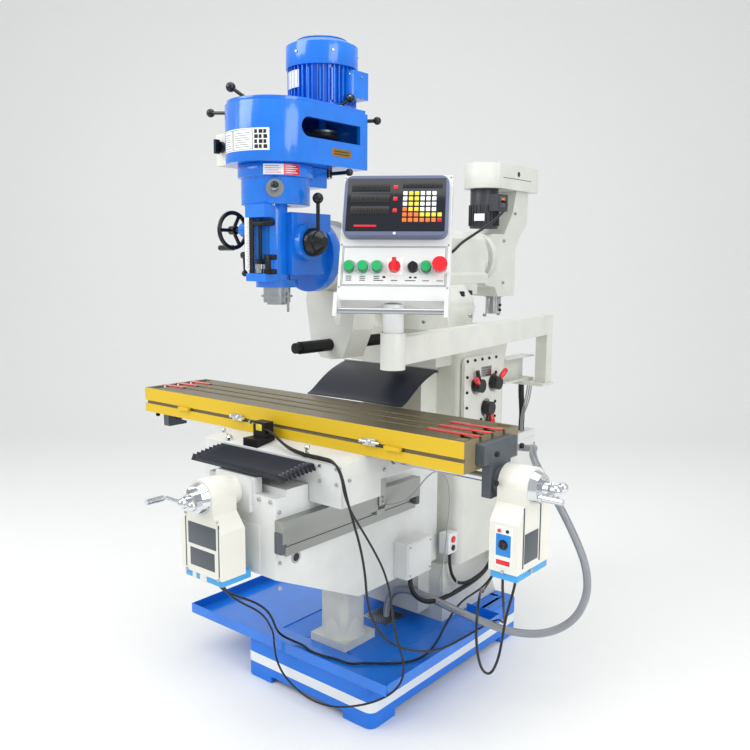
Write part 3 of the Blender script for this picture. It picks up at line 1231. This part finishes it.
# %% Column flank, cabinet and base details
mesh = bmesh.new()
slab(mesh, 205, 250, 40, 100.5, 450, 530, 3)
piece("switch_box", mesh, panel_paint, "frame")
mesh = bmesh.new()
turned(mesh, (249.6, 70, 505), (1, 0, 0), [(0, 13), (4, 13), (6, 9)], 28)
piece("switch_box_button", mesh, red, "frame")
mesh = bmesh.new()
turned(mesh, (249.6, 70, 472), (1, 0, 0), [(0, 11), (4, 11), (6, 8)], 28)
turned(mesh, (228, 80, 451), (0, 0, -1), [(0, 10), (14, 10), (18, 7)], 8)
for drain_x in range(9):
    for drain_y in range(8):
        turned(mesh, (-50 + 12.5 * drain_x, -81 + 14 * drain_y, 162.6), (0, 0, 1),
               [(0, 3.4), (0.7, 3.4)], 8)
piece("black_trim", mesh, ink, "frame")
mesh = bmesh.new()
slab(mesh, -62, 62, -92, 29, 160, 162.8, 0.8)
piece("drain_plate", mesh, alloy, "frame")
box = corners("electrical_cabinet")
mesh = bmesh.new()
slab(mesh, box[3] - 0.4, box[3] + 3, box[1] + 6, box[4] - 6, box[2] + 6, box[5] - 30, 1.5)
piece("cabinet_door", mesh, panel_paint, "frame")
mesh = bmesh.new()
for hinge_z in (box[2] + 60, box[5] - 90):
    bar(mesh, (box[3] + 4, box[4] - 12, hinge_z), (box[3] + 4, box[4] - 12, hinge_z + 34), 4)
turned(mesh, (box[3] + 2, box[1] + 22, 690), (1, 0, 0), [(0, 9), (4, 9), (5, 7)], 24)
turned(mesh, (box[3] + 0.3, 463, 800), (1, 0, 0), [(0, 24), (8, 24), (12, 20), (26, 19)], 8)
for corner_x in (-592, 366):
    for corner_y in (-482, 194):
        turned(mesh, (corner_x, corner_y, 162.8), (0, 0, 1), [(0, 5), (2, 5)], 6)
piece("cabinet_fittings", mesh, steel, "frame")
mesh = bmesh.new()
for bolt_x in (-150, 150):
    for bolt_z in (1330, 1260):
        cap_screw(mesh, (bolt_x, 1, bolt_z), (0, -1, 0), 7)
for bolt_y in (150, 250, 350):
    cap_screw(mesh, (250, bolt_y, 1350), (1, 0, 0), 8)
piece("column_bolts", mesh, steel, "frame")
print("switch box, drain plate and cabinet door")

# %% Turret and ram details
mesh = bmesh.new()
for mark in range(46):
    angle = radians(-115 + 5 * mark)
    out = Vector((cos(angle), sin(angle), 0))
    start = Vector((0, 196, 1388)) + out * 199.2
    bar(mesh, start, start + Vector((0, 0, 14 if mark % 2 == 0 else 8)), 0.7, 6)
piece("turret_degree_marks", mesh, ink, "frame")
mesh = bmesh.new()
for angle in (-70, -35, 0, 35):
    out = Vector((cos(radians(angle)), sin(radians(angle)), 0))
    spot = Vector((0, 196, 1420)) + out * 184
    turned(mesh, spot, (0, 0, 1), [(0, 13), (4, 13), (5, 11), (16, 11), (18, 8)], 6)
piece("turret_lock_nuts", mesh, black_steel, "frame")
mesh = bmesh.new()
for bolt in range(8):
    angle = radians(45 * bolt + 22.5)
    spot = (104 * cos(angle), 1566 + 104 * sin(angle))
    cap_screw(mesh, (spot[0], -328, spot[1]), (0, -1, 0), 8)
for lever_y in (60, 150):
    bar(mesh, (106, lever_y, 1492), (140, lever_y, 1492), 6)
    ball(mesh, Vector((148, lever_y, 1492)), 13)
piece("ram_bolts_and_knobs", mesh, black_steel, "ram_group")
mesh = bmesh.new()
for mark in range(37):
    angle = radians(5 * mark - 90)
    spot = Vector((118.4 * cos(angle), -352, 1566 + 118.4 * sin(angle)))
    bar(mesh, spot, spot + Vector((0, 12 if mark % 3 == 0 else 7, 0)), 0.7, 6)
piece("head_degree_marks", mesh, ink, "ram_group")
print("turret and ram graduations")

# %% [markdown]
# ## The slotting head
# The slotting head has a two-part belt cover with a seam, a finned charcoal motor with its
# terminal box, body bolts, and a tool holder with two set screws.

# %% Slotting head details
mesh = bmesh.new()
for rib in range(24):
    first = len(mesh.verts)
    slab(mesh, 58, 66, -1.2, 1.2, 1702, 1790, 0.4)
    mesh.verts.ensure_lookup_table()
    bmesh.ops.rotate(mesh, verts=mesh.verts[first:], cent=(0, 0, 0),
                     matrix=Matrix.Rotation(2 * pi * rib / 24, 3, "Z"))
bmesh.ops.translate(mesh, verts=mesh.verts, vec=(0, 635, 0))
piece("slotting_motor_ribs", mesh, motor_enamel, "slotting_group")
mesh = bmesh.new()
slab(mesh, 95.8, 98.0, 600, 650, 1778, 1822, 1.0)
for side_y in (606, 644):
    cap_screw(mesh, (98, side_y, 1800), (1, 0, 0), 2.5)
piece("slotting_terminal_lid", mesh, slate, "slotting_group")
mesh = bmesh.new()
slab(mesh, 97.8, 98.6, 614, 638, 1806, 1816, 0.2)
piece("slotting_terminal_label", mesh, orange, "slotting_group")
mesh = bmesh.new()
curved_plate(mesh, (0.0, 635.0), 66.0, -96, -56, 1722, 1752)
piece("slotting_motor_label", mesh, white, "slotting_group")
mesh = bmesh.new()
for side in (-1, 1):
    slab(mesh, side * 88.3 - 0.5, side * 88.3 + 0.5, 640, 880, 1903, 1905)
    turned(mesh, (side * 87.8, 770, 1926), (side, 0, 0), [(0, 11), (0.9, 11)], 32)
piece("slotting_cover_seam", mesh, ink, "slotting_group")
mesh = bmesh.new()
for side in (-1, 1):
    for spot_y, spot_z in ((580, 1500), (580, 1632), (700, 1460), (700, 1640), (790, 1760)):
        cap_screw(mesh, (side * 62, spot_y, spot_z), (side, 0, 0), 7)
for cover_y in (620, 760, 900):
    for cover_x in (-66, 66):
        cap_screw(mesh, (cover_x, cover_y, 1962), (0, 0, 1), 4)
piece("slotting_bolts", mesh, steel, "slotting_group")
mesh = bmesh.new()
for screw_z in (1338, 1360):
    cap_screw(mesh, (34, 730, screw_z), (1, 0, 0), 6)
piece("slotting_tool_screws", mesh, black_steel, "slotting_ram_group")
print("slotting motor ribs, labels and bolts")

# %% [markdown]
# ## Floor, light and finish
# A pale floor and a pale curved backdrop, with three large soft lights: one high on the left
# front as the key, one on the right, and a wide one overhead.

# %% Floor and backdrop
def studio():
    mesh = bmesh.new()
    edge = [mesh.verts.new((-14.0, -7.0, 0)), mesh.verts.new((14.0, -7.0, 0))]
    line = mesh.edges.new(edge)
    shape = [line]
    curve = [(0.4 * cos(step * pi / 16), 0.4 * sin(step * pi / 16)) for step in range(1, 9)]
    for step_y, step_z in [(11.0, 0.0), *curve, (0.0, 7.0)]:
        grown = bmesh.ops.extrude_edge_only(mesh, edges=shape)["geom"]
        moved = [item for item in grown if isinstance(item, bmesh.types.BMVert)]
        shape = [item for item in grown if isinstance(item, bmesh.types.BMEdge)]
        bmesh.ops.translate(mesh, verts=moved, vec=(0, step_y, step_z))
    heading = math.atan2(-LOOKING.x, LOOKING.y)
    mesh.transform(Matrix.Rotation(heading, 4, "Z"))
    data = bpy.data.meshes.new("studio")
    mesh.to_mesh(data)
    mesh.free()
    for face in data.polygons:
        face.use_smooth = True
    made = bpy.data.objects.new("studio", data)
    bpy.context.scene.collection.objects.link(made)
    data.materials.append(finish("studio_paper", "F1F1EF", 0.7, lump_mm=60, depth_mm=0.02,
                                 vary=0.005))
    return made


studio()
print("studio floor made")


# %% Lights and surroundings
def lamp(name, place, aim, power, width, height):
    light = bpy.data.lights.new(name, "AREA")
    light.shape = "RECTANGLE"
    light.size = width
    light.size_y = height
    light.energy = power
    made = bpy.data.objects.new(name, light)
    bpy.context.scene.collection.objects.link(made)
    way = Vector(aim) - Vector(place)
    made.matrix_world = (Matrix.Translation(Vector(place))
                         @ way.to_track_quat("-Z", "Y").to_matrix().to_4x4())


lamp("key", (-1.8, -3.6, 3.6), (0, 0, 1.0), 92, 2.4, 2.4)
lamp("side", (3.6, -1.0, 2.6), (0, 0, 1.0), 62, 2.0, 2.6)
lamp("top", (0.2, -0.4, 4.4), (0, 0, 0), 74, 3.6, 3.6)
world = bpy.data.worlds.new("studio_air")
bpy.context.scene.world = world
world.use_nodes = True
world.node_tree.nodes["Background"].inputs["Color"].default_value = linear("F2F5F8")
world.node_tree.nodes["Background"].inputs["Strength"].default_value = 0.74
bpy.context.scene.view_settings.view_transform = "Standard"
print("three lights and a pale surrounding")
